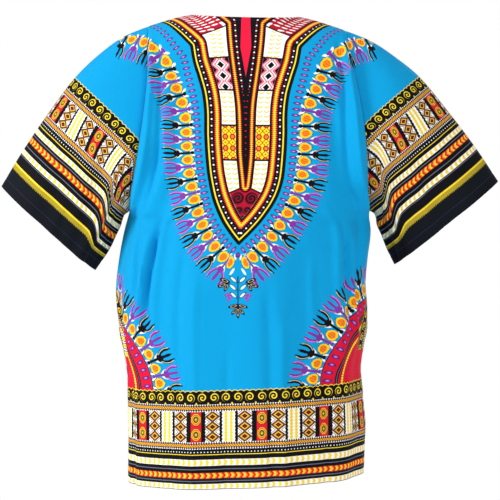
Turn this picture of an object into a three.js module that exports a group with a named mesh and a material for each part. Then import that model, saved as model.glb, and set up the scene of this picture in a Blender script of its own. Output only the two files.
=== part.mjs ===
// A boxy pullover shirt with wide short sleeves, filled out as if worn.
// It is hollow, and open at the neck, cuffs and hem.
//
// Millimetres. +Z is up, the back of the shirt faces -Y and the front +Y, and +X is the wearer's right.
// The origin is midway between the two ends of the neck opening, where the shirt rests on the shoulders.
//
// Every piece of cloth is a closed wall: an outer grid, the same grid moved in by the wall, and a rim.

import * as THREE from "three";

const WALL = 1.2;
const SEAM_GAP = 0.5;
const POCKET_GAP = 1.6;

// Down the middle of the body, measured along the cloth from the shoulder seam.
const UNDERARM_DOWN = 350;
const HEM_DOWN = 758;
const VENT_DOWN = 690;
const VENT_GAP = 8;

const NECK = { halfWidth: 86, z: -1, shoulderDrop: 22, shoulderCurve: 1.25 };
const NECK_BACK = { depth: 65, dip: 14, sharpness: 1 };
const NECK_FRONT = { depth: 68, dip: 49, sharpness: 1.3 };
const NOTCH = { halfShare: 0.0858, down: 74 };

// The share of the top edge, from the middle to the armhole, where the neck ends and the shoulder seam starts.
const NECK_SHARE = 0.6;
const NECK_COLUMNS = 7;
const SHOULDER_COLUMNS = 6;
const ARMHOLE_ROWS = 12;
const BODY_ROWS = 14;
const SLEEVE_RINGS = 9;
const ROW_CROWDING = 1.35;
const FINE_STEPS = 48;

// The shoulder is shaped above this row; SHOULDER_ROUND is how level the cloth comes over the seam.
const BLEND_DOWN = 38;
const SLOPE_STEP = 6;
const SHOULDER_ROUND = 0.8;

// The shirt hangs a little to one side: height gained for each millimetre towards +X.
const TILT = { shoulder: -0.022, hem: 0.036 };

// The edge of an armhole: how far out it is on the left and right, how far from the seam line, and its height.
const ARMHOLE = [
  { down: 0, left: 161, right: 163, depth: 0, z: -23 },
  { down: 16, left: 160, right: 163, depth: 16, z: -25 },
  { down: 38, left: 159, right: 164, depth: 35, z: -36 },
  { down: 70, left: 158, right: 168, depth: 52, z: -64 },
  { down: 118, left: 158, right: 176, depth: 66, z: -109 },
  { down: 168, left: 161, right: 184, depth: 78, z: -156 },
  { down: 225, left: 168, right: 190, depth: 86, z: -212 },
  { down: 285, left: 178, right: 194, depth: 72, z: -268 },
  { down: 332, left: 189, right: 198, depth: 30, z: -310 },
  { down: 350, left: 191, right: 200, depth: 0, z: -322 },
];

// The side seams, from the underarm to the hem: distance out to the left and right at each height.
const SIDE = [
  { z: -322, left: 191, right: 200 },
  { z: -355, left: 200, right: 204 },
  { z: -398, left: 208, right: 199 },
  { z: -441, left: 213, right: 195.5 },
  { z: -478, left: 211.5, right: 198.5 },
  { z: -511, left: 207, right: 198 },
  { z: -545, left: 200, right: 192.5 },
  { z: -583, left: 194, right: 187.5 },
  { z: -621, left: 193, right: 190.5 },
  { z: -673, left: 192, right: 195.5 },
  { z: -710, left: 192, right: 194 },
  { z: -753, left: 192, right: 192.5 },
];

// The middle of the back and of the front: distance out, height, and how square the row through it is.
const MIDDLE_BACK = [
  { down: 0, out: 65, z: -15, square: 1.6 },
  { down: 16, out: 69, z: -28, square: 1.6 },
  { down: 38, out: 76, z: -48, square: 1.8 },
  { down: 70, out: 86, z: -78, square: 2 },
  { down: 118, out: 98, z: -123, square: 2.1 },
  { down: 168, out: 107, z: -171, square: 2.2 },
  { down: 225, out: 115, z: -227, square: 2.3 },
  { down: 285, out: 121, z: -286, square: 2.3 },
  { down: 350, out: 128, z: -350, square: 2.3 },
  { down: 430, out: 135, z: -429, square: 2.35 },
  { down: 540, out: 140, z: -537, square: 2.4 },
  { down: 650, out: 141, z: -646, square: 2.4 },
  { down: 758, out: 140, z: -753, square: 2.4 },
];
const MIDDLE_FRONT = [
  { down: 0, out: 68, z: -50, square: 1.6 },
  { down: 16, out: 74, z: -60, square: 1.6 },
  { down: 38, out: 82, z: -74, square: 1.8 },
  { down: 70, out: 92, z: -97, square: 2 },
  { down: 118, out: 104, z: -136, square: 2.1 },
  { down: 168, out: 113, z: -181, square: 2.2 },
  { down: 225, out: 120, z: -233, square: 2.3 },
  { down: 285, out: 125, z: -289, square: 2.3 },
  { down: 350, out: 130, z: -351, square: 2.3 },
  { down: 430, out: 136, z: -429, square: 2.35 },
  { down: 540, out: 140, z: -537, square: 2.4 },
  { down: 650, out: 139, z: -646, square: 2.4 },
  { down: 758, out: 136, z: -753, square: 2.4 },
];

// The largest soft folds, each a trough that runs down the cloth from "top" to "foot".
// "at" is the share of the half row from the middle, below 0 on the left, and "lean" how far it moves by its foot.
const BACK_FOLDS = [
  { at: -0.62, lean: 0.05, top: 70, foot: 330, width: 0.09, depth: 7 },
  { at: -0.78, lean: -0.12, top: 200, foot: 560, width: 0.08, depth: 9 },
  { at: -0.5, lean: -0.06, top: 330, foot: 758, width: 0.12, depth: 6 },
  { at: -0.12, lean: 0.03, top: 420, foot: 758, width: 0.11, depth: 4 },
  { at: 0.34, lean: 0.04, top: 360, foot: 758, width: 0.13, depth: 6 },
  { at: 0.7, lean: 0.06, top: 120, foot: 480, width: 0.08, depth: 7 },
  { at: 0.82, lean: -0.08, top: 470, foot: 758, width: 0.1, depth: 6 },
];
const FRONT_FOLDS = [
  { at: -0.7, lean: 0.06, top: 90, foot: 360, width: 0.09, depth: 7 },
  { at: -0.3, lean: -0.03, top: 300, foot: 758, width: 0.1, depth: 6 },
  { at: 0.06, lean: 0.03, top: 380, foot: 758, width: 0.1, depth: 5 },
  { at: 0.36, lean: 0.02, top: 260, foot: 758, width: 0.1, depth: 6 },
  { at: 0.74, lean: -0.05, top: 80, foot: 340, width: 0.09, depth: 6 },
];

// Each sleeve from the armhole to the cuff: its top line, its lower line, half its depth and how round it is.
const SLEEVE_LEFT = [
  { along: 0, topX: -161, topZ: -19.5, lowX: -191, lowZ: -323, depth: 80, square: 2 },
  { along: 0.126, topX: -203, topZ: -38, lowX: -199, lowZ: -328, depth: 84, square: 2 },
  { along: 0.28, topX: -247, topZ: -71, lowX: -203, lowZ: -337, depth: 84, square: 1.95 },
  { along: 0.42, topX: -283, topZ: -107, lowX: -206, lowZ: -347, depth: 80, square: 1.9 },
  { along: 0.613, topX: -325, topZ: -163, lowX: -213, lowZ: -362, depth: 73, square: 1.85 },
  { along: 0.82, topX: -367, topZ: -225, lowX: -225, lowZ: -387, depth: 63, square: 1.8 },
  { along: 1, topX: -401, topZ: -281, lowX: -247, lowZ: -419, depth: 56, square: 1.75 },
];
const SLEEVE_RIGHT = [
  { along: 0, topX: 163, topZ: -26.5, lowX: 200, lowZ: -321, depth: 80, square: 2 },
  { along: 0.126, topX: 205, topZ: -44, lowX: 209, lowZ: -325, depth: 84, square: 2 },
  { along: 0.28, topX: 246, topZ: -71, lowX: 214, lowZ: -334, depth: 84, square: 1.95 },
  { along: 0.42, topX: 284, topZ: -102, lowX: 215, lowZ: -345, depth: 80, square: 1.9 },
  { along: 0.613, topX: 331, topZ: -158, lowX: 222, lowZ: -361, depth: 73, square: 1.85 },
  { along: 0.82, topX: 376, topZ: -217, lowX: 231, lowZ: -384, depth: 63, square: 1.8 },
  { along: 1, topX: 413.6, topZ: -273, lowX: 243.5, lowZ: -409.5, depth: 57, square: 1.75 },
];
const ARMHOLE_FADE = 0.4;

// Folds of a sleeve, troughs or ridges (depth below 0). "around" is the share of the way from the top line
// to the lower line, below 0 on the front.
const SLEEVE_FOLDS = [
  { around: 0.72, lean: 0.16, from: 0, to: 1, width: 0.08, depth: -9 },
  { around: 0.88, lean: 0.06, from: 0, to: 0.9, width: 0.07, depth: 10 },
  { around: 0.4, lean: 0.08, from: 0.3, to: 1, width: 0.09, depth: 5 },
  { around: -0.3, lean: -0.05, from: 0.2, to: 1, width: 0.1, depth: 5 },
  { around: -0.64, lean: -0.06, from: 0.1, to: 1, width: 0.09, depth: 7 },
];

// A patch pocket on the front by each side seam, between these rows; its opening slants down to the side seam.
const POCKET = { columns: 7, sideInset: 0.15, topDown: 424, sideDown: 540, footDown: 616 };

const COLOURS = {
  cloth: { color: 0x16a4e6, roughness: 0.82, metalness: 0 },
  sleeve: { color: 0x1b2a38, roughness: 0.82, metalness: 0 },
  pocket: { color: 0xe2b23c, roughness: 0.82, metalness: 0 },
};

const clamp01 = (value) => Math.min(1, Math.max(0, value));
const smooth = (value) => clamp01(value) ** 2 * (3 - 2 * clamp01(value));
const mix = (a, b, share) => a + (b - a) * share;

// A column of a table at any place between its rows, on a smooth curve through them.
function readTable(table, key, column, place) {
  const steps = table.length - 1;
  const rising = table[steps][key] > table[0][key];
  let row = 0;
  while (row < steps - 1 && (rising ? place > table[row + 1][key] : place < table[row + 1][key])) {
    row += 1;
  }
  const slope = (index) => {
    const before = table[Math.max(0, index - 1)];
    const after = table[Math.min(steps, index + 1)];
    return (after[column] - before[column]) / (after[key] - before[key]);
  };
  const [start, end] = [table[row], table[row + 1]];
  const span = end[key] - start[key];
  const share = clamp01((place - start[key]) / span);
  const [squared, cubed] = [share ** 2, share ** 3];
  return (
    (2 * cubed - 3 * squared + 1) * start[column] +
    (cubed - 2 * squared + share) * span * slope(row) +
    (3 * squared - 2 * cubed) * end[column] +
    (cubed - squared) * span * slope(row + 1)
  );
}

// Points on a line of points at these shares of its length.
function pointsAt(line, shares) {
  const lengths = [0];
  for (let i = 1; i < line.length; i += 1) {
    lengths.push(lengths[i - 1] + line[i].distanceTo(line[i - 1]));
  }
  return shares.map((share) => {
    const target = share * lengths[line.length - 1];
    let i = 1;
    while (i < line.length - 1 && lengths[i] < target) {
      i += 1;
    }
    const part = (target - lengths[i - 1]) / (lengths[i] - lengths[i - 1]);
    return line[i - 1].clone().lerp(line[i], part);
  });
}

function foldDepth(folds, key, place, down, startKey, endKey, ease) {
  let depth = 0;
  for (const fold of folds) {
    const share = (down - fold[startKey]) / (fold[endKey] - fold[startKey]);
    const across = (place - fold[key] - fold.lean * clamp01(share)) / fold.width;
    const fade = smooth((down - fold[startKey]) / ease) * smooth((fold[endKey] + ease - down) / ease);
    depth += fold.depth * fade * Math.exp(-(across ** 2));
  }
  return depth;
}

function armholePoint(down, side, facing) {
  const out = readTable(ARMHOLE, "down", side < 0 ? "left" : "right", down);
  const depth = readTable(ARMHOLE, "down", "depth", down);
  return new THREE.Vector3(side * out, facing * depth, readTable(ARMHOLE, "down", "z", down));
}

function sidePoint(down, side, facing) {
  const share = (down - UNDERARM_DOWN) / (HEM_DOWN - UNDERARM_DOWN);
  const z = mix(SIDE[0].z, SIDE[SIDE.length - 1].z, share);
  const vent = (smooth((down - VENT_DOWN) / (HEM_DOWN - VENT_DOWN)) * VENT_GAP) / 2;
  return new THREE.Vector3(side * readTable(SIDE, "z", side < 0 ? "left" : "right", z), facing * vent, z);
}

// One half of a row, from the middle to the armhole or side seam.
function halfRow(down, side, facing, middle) {
  const end = down <= UNDERARM_DOWN ? armholePoint(down, side, facing) : sidePoint(down, side, facing);
  const out = facing * readTable(middle, "down", "out", down);
  const z = readTable(middle, "down", "z", down);
  const power = 2 / readTable(middle, "down", "square", down);
  const line = [];
  for (let step = 0; step <= FINE_STEPS; step += 1) {
    const angle = (Math.PI / 2) * (step / FINE_STEPS);
    const inward = Math.max(0, Math.cos(angle)) ** power;
    line.push(new THREE.Vector3(
      end.x * Math.sin(angle) ** power,
      mix(end.y, out, inward),
      mix(end.z, z, inward),
    ));
  }
  return line;
}

// The top edge: the neck opening from the middle, then the shoulder seam.
function topEdge(share, side, facing, neck) {
  if (share <= NECK_SHARE) {
    const angle = (Math.PI / 2) * (share / NECK_SHARE);
    const inward = Math.max(0, Math.cos(angle));
    return new THREE.Vector3(
      side * NECK.halfWidth * Math.sin(angle),
      facing * neck.depth * inward,
      NECK.z - neck.dip * inward ** neck.sharpness,
    );
  }
  const along = (share - NECK_SHARE) / (1 - NECK_SHARE);
  const tip = armholePoint(0, side, facing);
  const x = mix(side * NECK.halfWidth, tip.x, along);
  return new THREE.Vector3(x, 0, NECK.z - NECK.shoulderDrop * along ** NECK.shoulderCurve);
}

// The surface of the back (facing -1) or front (facing 1), at a share of the half row and a distance down.
// Above the blend row it runs up to the top edge, and it comes over the shoulder seam level.
function bodyPoint(panel, place, down) {
  const side = place < 0 ? -1 : 1;
  const share = Math.abs(place);
  const [point] = pointsAt(halfRow(Math.max(down, BLEND_DOWN), side, panel.facing, panel.middle), [share]);
  if (down < BLEND_DOWN) {
    const [next] = pointsAt(halfRow(BLEND_DOWN + SLOPE_STEP, side, panel.facing, panel.middle), [share]);
    const endSlope = next.sub(point).multiplyScalar(BLEND_DOWN / SLOPE_STEP);
    const top = topEdge(share, side, panel.facing, panel.neck);
    const chord = point.clone().sub(top);
    const level = new THREE.Vector3(0, panel.facing * chord.length(), 0);
    const startSlope = chord.clone().lerp(level, SHOULDER_ROUND * smooth((share - 0.4) / 0.25));
    const part = down / BLEND_DOWN;
    const [squared, cubed] = [part ** 2, part ** 3];
    point.copy(top)
      .addScaledVector(chord, 3 * squared - 2 * cubed)
      .addScaledVector(startSlope, cubed - 2 * squared + part)
      .addScaledVector(endSlope, cubed - squared);
  }
  point.z += point.x * mix(TILT.shoulder, TILT.hem, down / HEM_DOWN);
  return point;
}

const PANELS = {
  back: { facing: -1, middle: MIDDLE_BACK, neck: NECK_BACK, folds: BACK_FOLDS, notch: 0 },
  front: { facing: 1, middle: MIDDLE_FRONT, neck: NECK_FRONT, folds: FRONT_FOLDS, notch: NOTCH.down },
};

const columnPlaces = [];
for (let i = 0; i <= NECK_COLUMNS; i += 1) {
  columnPlaces.push((NECK_SHARE * i) / NECK_COLUMNS);
}
for (let i = 1; i <= SHOULDER_COLUMNS; i += 1) {
  columnPlaces.push(mix(NECK_SHARE, 1, i / SHOULDER_COLUMNS));
}
for (const place of columnPlaces.slice(1)) {
  columnPlaces.unshift(-place);
}

const rowDowns = [];
for (let i = 0; i <= ARMHOLE_ROWS; i += 1) {
  rowDowns.push(UNDERARM_DOWN * (i / ARMHOLE_ROWS) ** ROW_CROWDING);
}
for (let i = 1; i <= BODY_ROWS; i += 1) {
  rowDowns.push(mix(UNDERARM_DOWN, HEM_DOWN, i / BODY_ROWS));
}

// Outward normals of a grid of points; a grid that is closed round joins its last column to its first.
function gridNormals(points, closed, flip) {
  const last = points[0].length - 1;
  return points.map((row, i) => row.map((_, j) => {
    const [left, right] = closed
      ? [row[(j + last) % (last + 1)], row[(j + 1) % (last + 1)]]
      : [row[Math.max(0, j - 1)], row[Math.min(last, j + 1)]];
    const above = points[Math.max(0, i - 1)][j];
    const under = points[Math.min(points.length - 1, i + 1)][j];
    const across = right.clone().sub(left);
    return across.cross(under.clone().sub(above)).normalize().multiplyScalar(flip);
  }));
}

function bodyGrid(panel) {
  const points = rowDowns.map((down) => columnPlaces.map((place) => {
    const notch = panel.notch * clamp01(1 - Math.abs(place) / NOTCH.halfShare);
    return bodyPoint(panel, place, notch + (down * (HEM_DOWN - notch)) / HEM_DOWN);
  }));
  const normals = gridNormals(points, false, panel.facing);
  points.forEach((row, i) => row.forEach((point, j) => {
    const depth = foldDepth(panel.folds, "at", columnPlaces[j], rowDowns[i], "top", "foot", 60);
    const free = smooth((1 - Math.abs(columnPlaces[j])) / 0.12);
    point.addScaledVector(normals[i][j], -depth * free);
  }));
  return { points, normals: gridNormals(points, false, panel.facing), closed: false };
}

// A sleeve: rings between its top and lower lines, starting on the edge of the armhole.
function sleeveGrid(table, side) {
  const edge = { back: [], front: [] };
  for (const [name, panel] of Object.entries(PANELS)) {
    for (const down of rowDowns.slice(0, ARMHOLE_ROWS + 1)) {
      edge[name].push(bodyPoint(panel, side, down));
    }
  }
  const lengths = [0];
  for (let i = 1; i <= ARMHOLE_ROWS; i += 1) {
    lengths.push(lengths[i - 1] + edge.back[i].distanceTo(edge.back[i - 1]));
  }
  const shares = lengths.map((length) => length / lengths[ARMHOLE_ROWS]);
  const read = (column, along) => readTable(table, "along", column, along);
  const halfRing = (along, facing) => {
    const top = new THREE.Vector3(read("topX", along), 0, read("topZ", along));
    const low = new THREE.Vector3(read("lowX", along), 0, read("lowZ", along));
    const middle = top.clone().add(low).multiplyScalar(0.5);
    const reach = top.clone().sub(middle);
    const power = 2 / read("square", along);
    const line = [];
    for (let step = 0; step <= FINE_STEPS; step += 1) {
      const angle = (Math.PI * step) / FINE_STEPS;
      const across = Math.sign(Math.cos(angle)) * Math.abs(Math.cos(angle)) ** power;
      const point = middle.clone().addScaledVector(reach, across);
      point.y = facing * read("depth", along) * Math.max(0, Math.sin(angle)) ** power;
      line.push(point);
    }
    return pointsAt(line, shares);
  };
  const start = { back: halfRing(0, -1), front: halfRing(0, 1) };
  const points = [];
  for (let ring = 0; ring <= SLEEVE_RINGS; ring += 1) {
    const along = ring / SLEEVE_RINGS;
    const hold = 1 - smooth(along / ARMHOLE_FADE);
    const half = (name, facing) => halfRing(along, facing).map((point, i) => (
      point.add(edge[name][i].clone().sub(start[name][i]).multiplyScalar(hold))
    ));
    const back = half("back", -1);
    const front = half("front", 1).slice(1, -1).reverse();
    points.push([...back, ...front]);
  }
  const around = [...shares, ...shares.slice(1, -1).reverse().map((share) => -share)];
  const normals = gridNormals(points, true, side);
  points.forEach((ring, i) => ring.forEach((point, j) => {
    const along = i / SLEEVE_RINGS;
    const depth = foldDepth(SLEEVE_FOLDS, "around", around[j], along, "from", "to", 0.3);
    const free = smooth((along - 0.1) / 0.5) * smooth((1 - Math.abs(around[j])) / 0.1);
    point.addScaledVector(normals[i][j], -depth * free);
  }));
  return { points, normals: gridNormals(points, true, side), closed: true };
}

// The rim of a grid: each point with the direction into the cloth, square to the rim.
function rimPoints(grid) {
  const [rows, columns] = [grid.points.length, grid.points[0].length];
  const at = (i, j) => {
    const column = grid.closed ? (j + columns) % columns : Math.min(columns - 1, Math.max(0, j));
    return grid.points[Math.min(rows - 1, Math.max(0, i))][column];
  };
  const inward = (i, j, nextI, nextJ) => {
    const [stepI, stepJ] = [Math.abs(nextJ - j), Math.abs(nextI - i)];
    const seam = at(i + stepI, j + stepJ).clone().sub(at(i - stepI, j - stepJ)).normalize();
    const into = at(nextI, nextJ).clone().sub(at(i, j));
    return into.addScaledVector(seam, -into.dot(seam)).normalize();
  };
  const rim = [];
  for (let i = 0; i < rows; i += 1) {
    for (let j = 0; j < columns; j += 1) {
      const into = new THREE.Vector3();
      if (i === 0) into.add(inward(i, j, 1, j));
      if (!grid.closed && j === 0) into.add(inward(i, j, i, 1));
      if (!grid.closed && j === columns - 1) into.add(inward(i, j, i, j - 1));
      if (into.lengthSq() > 0) {
        rim.push({ point: grid.points[i][j], normal: grid.normals[i][j], into });
      }
    }
  }
  return rim;
}

// Where pieces are sewn together, their walls share one thickness direction, and they part by the seam gap.
function sewTogether(grids) {
  const meeting = new Map();
  for (const entry of grids.flatMap(rimPoints)) {
    const key = entry.point.toArray().map((value) => Math.round(value * 20)).join(",");
    meeting.set(key, [...(meeting.get(key) ?? []), entry]);
  }
  for (const entries of meeting.values()) {
    const normal = new THREE.Vector3();
    const mean = new THREE.Vector3();
    for (const entry of entries) {
      normal.add(entry.normal);
      mean.addScaledVector(entry.into, 1 / entries.length);
    }
    for (const { point, normal: own, into } of entries) {
      own.copy(normal).normalize();
      if (entries.length > 1) {
        point.add(into.clone().sub(mean).setLength(SEAM_GAP / 2));
      }
    }
  }
}

// A closed wall: the grid, the grid moved in by the wall, and the rim between them.
function wallGeometry(grid, flip) {
  const [rows, columns] = [grid.points.length, grid.points[0].length];
  const outer = grid.points.flat();
  const inner = grid.points.flatMap((row, i) => row.map((point, j) => (
    point.clone().addScaledVector(grid.normals[i][j], -WALL)
  )));
  const positions = [...outer, ...inner].flatMap((point) => point.toArray());
  const index = (i, j, layer) => layer * rows * columns + i * columns + (j % columns);
  const triangles = [];
  const quad = (a, b, c, d) => {
    triangles.push(...(flip > 0 ? [a, b, c, a, c, d] : [a, c, b, a, d, c]));
  };
  const across = grid.closed ? columns : columns - 1;
  for (let i = 0; i < rows - 1; i += 1) {
    for (let j = 0; j < across; j += 1) {
      quad(index(i, j, 0), index(i, j + 1, 0), index(i + 1, j + 1, 0), index(i + 1, j, 0));
      quad(index(i, j, 1), index(i + 1, j, 1), index(i + 1, j + 1, 1), index(i, j + 1, 1));
    }
  }
  for (let j = 0; j < across; j += 1) {
    quad(index(0, j + 1, 0), index(0, j, 0), index(0, j, 1), index(0, j + 1, 1));
    quad(index(rows - 1, j, 0), index(rows - 1, j + 1, 0), index(rows - 1, j + 1, 1), index(rows - 1, j, 1));
  }
  if (!grid.closed) {
    for (let i = 0; i < rows - 1; i += 1) {
      quad(index(i, 0, 0), index(i + 1, 0, 0), index(i + 1, 0, 1), index(i, 0, 1));
      const end = columns - 1;
      quad(index(i + 1, end, 0), index(i, end, 0), index(i, end, 1), index(i + 1, end, 1));
    }
  }
  const geometry = new THREE.BufferGeometry();
  geometry.setAttribute("position", new THREE.Float32BufferAttribute(positions, 3));
  geometry.setIndex(triangles);
  geometry.computeVertexNormals();
  return geometry;
}

// A point on the flat facets of a grid, and its normal, at a row and column that may lie between its points.
function onFacets(grid, row, column) {
  const i = Math.min(grid.points.length - 2, Math.floor(row));
  const j = Math.min(grid.points[0].length - 2, Math.floor(column));
  const [down, across] = [row - i, column - j];
  const read = (layer) => {
    const corner = layer[i][j].clone();
    const far = layer[i + 1][j + 1];
    const near = across > down ? layer[i][j + 1] : layer[i + 1][j];
    const [alongFirst, alongSecond] = across > down ? [across, down] : [down, across];
    return corner
      .addScaledVector(near.clone().sub(layer[i][j]), alongFirst)
      .addScaledVector(far.clone().sub(near), alongSecond);
  };
  return { point: read(grid.points), normal: read(grid.normals).normalize() };
}

// A pocket lies on the front's own facets, moved out; its opening slants down towards the side seam.
function pocketGrid(front, side) {
  const last = columnPlaces.length - 1;
  const foot = rowDowns.findIndex((down) => down >= POCKET.footDown);
  const first = rowDowns.findIndex((down) => down >= POCKET.topDown);
  const inward = [POCKET.sideInset];
  for (let i = 1; i <= POCKET.columns; i += 1) {
    inward.push(i);
  }
  if (side > 0) {
    inward.reverse();
  }
  const points = [];
  const normals = [];
  for (let i = first; i <= foot; i += 1) {
    const share = (i - first) / (foot - first);
    const row = inward.map((column) => {
      const opening = mix(POCKET.sideDown, POCKET.topDown, column / POCKET.columns);
      const down = mix(opening, rowDowns[foot], share);
      const above = rowDowns.findLastIndex((value) => value <= down);
      const part = (down - rowDowns[above]) / (rowDowns[above + 1] - rowDowns[above]);
      return onFacets(front, above + part, side < 0 ? column : last - column);
    });
    points.push(row.map(({ point, normal }) => point.addScaledVector(normal, POCKET_GAP + WALL)));
    normals.push(row.map(({ normal }) => normal));
  }
  return { points, normals, closed: false };
}

const back = bodyGrid(PANELS.back);
const front = bodyGrid(PANELS.front);
const sleeveLeft = sleeveGrid(SLEEVE_LEFT, -1);
const sleeveRight = sleeveGrid(SLEEVE_RIGHT, 1);
sewTogether([back, front, sleeveLeft, sleeveRight]);
const pocketLeft = pocketGrid(front, -1);
const pocketRight = pocketGrid(front, 1);

const shirt = new THREE.Group();

function addPiece(name, grid, flip, colour) {
  const mesh = new THREE.Mesh(wallGeometry(grid, flip), new THREE.MeshStandardMaterial(colour));
  mesh.name = name;
  shirt.add(mesh);
}

addPiece("back", back, -1, COLOURS.cloth);
addPiece("front", front, 1, COLOURS.cloth);
addPiece("sleeve_left", sleeveLeft, -1, COLOURS.sleeve);
addPiece("sleeve_right", sleeveRight, 1, COLOURS.sleeve);
addPiece("pocket_left", pocketLeft, 1, COLOURS.pocket);
addPiece("pocket_right", pocketRight, 1, COLOURS.pocket);

export default shirt;
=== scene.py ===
"""A printed cotton dashiki shirt, filled out as worn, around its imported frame.

Tables and print sizes are in millimetres. Shapes are turned to metres as their meshes are made.
The back of the shirt faces -Y. "share" runs along half a row of cloth, from its middle (0) to its edge (1),
and is below 0 on the left. "down" runs from the shoulder seam (0) to the hem.
"""

import math

import bpy
import numpy as np
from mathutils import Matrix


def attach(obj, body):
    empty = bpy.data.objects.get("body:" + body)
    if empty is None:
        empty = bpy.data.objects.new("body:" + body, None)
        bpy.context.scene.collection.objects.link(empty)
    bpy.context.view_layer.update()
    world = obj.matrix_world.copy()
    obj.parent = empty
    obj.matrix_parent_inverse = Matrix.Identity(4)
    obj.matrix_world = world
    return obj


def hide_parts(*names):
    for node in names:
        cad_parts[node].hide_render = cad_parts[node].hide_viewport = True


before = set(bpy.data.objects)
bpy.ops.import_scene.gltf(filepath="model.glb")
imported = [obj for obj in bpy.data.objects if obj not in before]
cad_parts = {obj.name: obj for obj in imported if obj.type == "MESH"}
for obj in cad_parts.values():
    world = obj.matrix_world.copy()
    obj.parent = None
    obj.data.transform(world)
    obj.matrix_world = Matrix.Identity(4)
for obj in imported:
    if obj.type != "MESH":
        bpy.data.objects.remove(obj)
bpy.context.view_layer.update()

MM = 0.001

# The cloth: one layer's thickness, what a folded hem or neck adds to it, and how deep the hems are.
CLOTH = 0.8
HEM_EXTRA = 0.9
HEM_FOLD = 17
HEM_STITCH = HEM_FOLD - 1.5
NECK_HEM = 7
NECK_STITCH = 5.5

# Places on a panel.
UNDERARM_DOWN = 350
HEM_DOWN = 758
VENT_DOWN = 690
VENT_GAP = 8
VENT_LENGTH = HEM_DOWN - VENT_DOWN
NECK_SHARE = 0.6
NECK_HALF = 86
SHOULDER_DROP = 22
NOTCH_SHARE = 0.0858

# The rows above BLEND_DOWN curve from the shoulder seam into the first full row.
BLEND_DOWN = 38
SLOPE_STEP = 6
SHOULDER_ROUND = 0.8
TILT = (-0.022, 0.036)

# Seams and hem stitches draw the cloth in by these depths, over these widths.
SEAM_DENT, SEAM_WIDTH = 0.7, 3.5
SHOULDER_DENT = 0.6
HEM_DENT, HEM_DENT_WIDTH = 0.35, 2.5
HEM_PUCKER, PUCKER_WIDTH = 0.25, 9

# Where the flat cloth is measured from, and how many rounds of flattening it takes.
REFERENCE_DOWN = 118
FLATTEN_ROUNDS = 12


def table(names, rows):
    return dict(zip(names.split(), np.array(rows, float).T))


ARMHOLE = table("down left right depth z", [
    (0, 161, 163, 0, -23),
    (16, 160, 163, 16, -25),
    (38, 159, 164, 35, -36),
    (70, 158, 168, 52, -64),
    (118, 158, 176, 66, -109),
    (168, 161, 184, 78, -156),
    (225, 168, 190, 86, -212),
    (285, 178, 194, 72, -268),
    (332, 189, 198, 30, -310),
    (350, 191, 200, 0, -322),
])
SIDE = table("z left right", [
    (-322, 191, 200),
    (-355, 200, 204),
    (-398, 208, 199),
    (-441, 213, 195.5),
    (-478, 211.5, 198.5),
    (-511, 207, 198),
    (-545, 200, 192.5),
    (-583, 194, 187.5),
    (-621, 193, 190.5),
    (-673, 192, 195.5),
    (-710, 192, 194),
    (-753, 192, 192.5),
])
MIDDLE = {
    "back": table("down out z square", [
        (0, 65, -15, 1.6),
        (16, 69, -28, 1.6),
        (38, 76, -48, 1.8),
        (70, 86, -78, 2),
        (118, 98, -123, 2.1),
        (168, 107, -171, 2.2),
        (225, 115, -227, 2.3),
        (285, 121, -286, 2.3),
        (350, 128, -350, 2.3),
        (430, 135, -429, 2.35),
        (540, 140, -537, 2.4),
        (650, 141, -646, 2.4),
        (758, 140, -753, 2.4),
    ]),
    "front": table("down out z square", [
        (0, 68, -50, 1.6),
        (16, 74, -60, 1.6),
        (38, 82, -74, 1.8),
        (70, 92, -97, 2),
        (118, 104, -136, 2.1),
        (168, 113, -181, 2.2),
        (225, 120, -233, 2.3),
        (285, 125, -289, 2.3),
        (350, 130, -351, 2.3),
        (430, 136, -429, 2.35),
        (540, 140, -537, 2.4),
        (650, 139, -646, 2.4),
        (758, 136, -753, 2.4),
    ]),
}
FACING = {"back": -1, "front": 1}
NECK = {"back": (65, 14, 1), "front": (68, 49, 1.3)}
NOTCH_DOWN = {"back": 0, "front": 74}

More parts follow.
